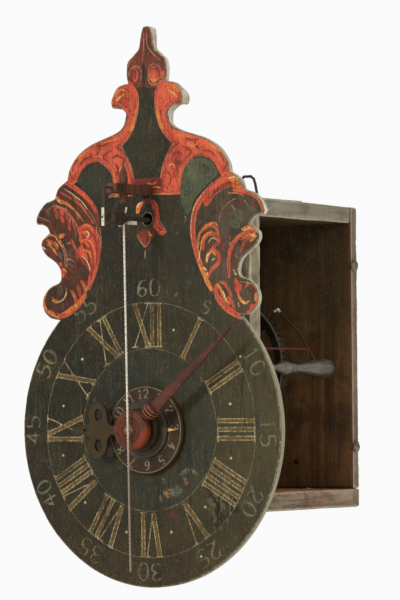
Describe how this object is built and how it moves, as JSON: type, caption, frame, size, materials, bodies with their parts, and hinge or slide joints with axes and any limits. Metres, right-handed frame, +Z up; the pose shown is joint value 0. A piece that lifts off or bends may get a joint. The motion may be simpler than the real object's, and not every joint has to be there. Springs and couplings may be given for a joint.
{
  "type": "wooden wall clock",
  "caption": "Open-sided wooden wall clock: painted shield dial, wooden wheel train, verge escapement, short front pendulum, alarm and bell.",
  "frame": {"origin": "on the wall plane (back face of the case), straight behind the centre arbor that carries the hands", "axes": "+X to the right seen from the front, -Y from the wall towards the viewer, +Z up"},
  "size_m": [0.28, 0.2595, 0.4999],
  "materials": {
    "dial_paint": "worn dark oil paint with red, gold and ivory ornament over pine",
    "case_wood": "grey weathered pine",
    "base_wood": "reddish-brown to grey pine with worm holes",
    "inner_wood": "dark red-brown pine, matt",
    "bracket_wood": "turned and carved hardwood, dark brown-red",
    "movement_wood": "brown beech, matt",
    "wheel_wood": "grey-brown hardwood, matt",
    "arbor_wood": "turned hardwood, dark and slightly polished",
    "iron": "forged iron, dark, slightly rusty",
    "bell_metal": "cast bell metal, tarnished",
    "pale_plate": "pale tinned metal",
    "pale_wire": "pale drawn wire",
    "red_paint": "turned hardwood with worn red-brown paint",
    "hand_paint": "hardwood with worn dark olive paint",
    "disc_paint": "hardwood with dark paint and ivory numbers",
    "inner_disc_paint": "hardwood with worn greenish-brown paint",
    "pointer_metal": "small brass pointer"
  },
  "bodies": {
    "case": {"shield": "dial_paint", "case_front_board": "case_wood", "case_back_board": "inner_wood", "case_top_board": "case_wood", "case_bottom_board": "base_wood", "case_left_board": "base_wood", "case_pegs": "inner_wood", "door_ears": "case_wood", "hanging_hoop": "iron", "gallows_arm": "bracket_wood", "gallows_peg": "bracket_wood", "gallows_post": "iron", "verge_front_plate": "pale_plate", "middle_bar": "movement_wood", "rear_bar": "movement_wood", "crown_bridge": "iron", "potence": "movement_wood", "bell": "bell_metal", "bell_post": "iron", "alarm_posts": "movement_wood"},
    "minute": {"centre_arbor": "iron", "minute_wheel": "wheel_wood", "minute_hub": "red_paint", "minute_hand": "red_paint"},
    "hour": {"hour_wheel": "wheel_wood", "hour_tube": "wheel_wood", "hour_collar": "hand_paint", "hour_hand": "hand_paint"},
    "alarm_dial": {"alarm_disc": "disc_paint", "alarm_inner_disc": "inner_disc_paint", "alarm_pointer": "pointer_metal", "alarm_cam": "wheel_wood"},
    "great": {"great_arbor": "arbor_wood", "great_wheel": "wheel_wood", "motion_pinion": "wheel_wood", "motion_wheel": "wheel_wood"},
    "pulley": {"rope_pulley": "wheel_wood", "ratchet_wheel": "wheel_wood"},
    "click": {"ratchet_click": "iron"},
    "contrate": {"contrate_wheel": "wheel_wood", "contrate_arbor": "arbor_wood", "contrate_pinion": "wheel_wood"},
    "escape": {"crown_wheel": "wheel_wood", "escape_arbor": "iron", "escape_pinion": "wheel_wood"},
    "pendulum": {"verge_arbor": "iron", "verge_spool": "bracket_wood", "verge_pallets": "iron", "verge_strip": "pale_plate", "rod_clip": "pale_wire", "pendulum_rod": "pale_wire"},
    "hammer": {"hammer_arbor": "arbor_wood", "hammer_wire": "iron", "hammer_tip": "pale_plate", "hammer_pallets": "iron"},
    "detent": {"alarm_detent": "iron"},
    "alarm_wheel": {"alarm_crown_wheel": "wheel_wood", "alarm_arbor": "arbor_wood"}
  },
  "joints": [
    {"name": "minute_turn", "type": "hinge", "parent": "case", "child": "minute", "pos_m": [0, 0, 0], "axis": [0, 1, 0], "continuous": true},
    {"name": "hour_turn", "type": "hinge", "parent": "case", "child": "hour", "pos_m": [0, 0, 0], "axis": [0, 1, 0], "continuous": true},
    {"name": "alarm_set", "type": "hinge", "parent": "hour", "child": "alarm_dial", "pos_m": [0, 0, 0], "axis": [0, 1, 0], "continuous": true},
    {"name": "great_turn", "type": "hinge", "parent": "case", "child": "great", "pos_m": [0, 0, 0.057], "axis": [0, 1, 0], "continuous": true},
    {"name": "pulley_rewind", "type": "hinge", "parent": "great", "child": "pulley", "pos_m": [0, 0, 0.057], "axis": [0, 1, 0], "continuous": true},
    {"name": "click_lift", "type": "hinge", "parent": "great", "child": "click", "pos_m": [0.01591, 0, 0.07291], "axis": [0, -1, 0], "range_deg": [0, 12]},
    {"name": "contrate_turn", "type": "hinge", "parent": "case", "child": "contrate", "pos_m": [0, 0, 0.12742], "axis": [0, 1, 0], "continuous": true},
    {"name": "escape_turn", "type": "hinge", "parent": "case", "child": "escape", "pos_m": [0, -0.1285, 0], "axis": [0, 0, 1], "continuous": true},
    {"name": "pendulum_swing", "type": "hinge", "parent": "case", "child": "pendulum", "pos_m": [0, 0, 0.1865], "axis": [0, 1, 0], "range_deg": [-12, 12]},
    {"name": "hammer_strike", "type": "hinge", "parent": "case", "child": "hammer", "pos_m": [0.082, 0, 0.0543], "axis": [0, 1, 0], "range_deg": [-20, 0]},
    {"name": "detent_lift", "type": "hinge", "parent": "case", "child": "detent", "pos_m": [0.078, 0, 0.0717], "axis": [0, 1, 0], "range_deg": [0, 6]},
    {"name": "alarm_wheel_turn", "type": "hinge", "parent": "case", "child": "alarm_wheel", "pos_m": [0, -0.1325, 0.0543], "axis": [1, 0, 0], "continuous": true}
  ],
  "couplings": [
    {"joint": "hour_turn", "follows": "minute_turn", "ratio": 0.083333},
    {"joint": "great_turn", "follows": "minute_turn", "ratio": -1},
    {"joint": "contrate_turn", "follows": "minute_turn", "ratio": 12},
    {"joint": "escape_turn", "follows": "minute_turn", "ratio": -96}
  ]
}
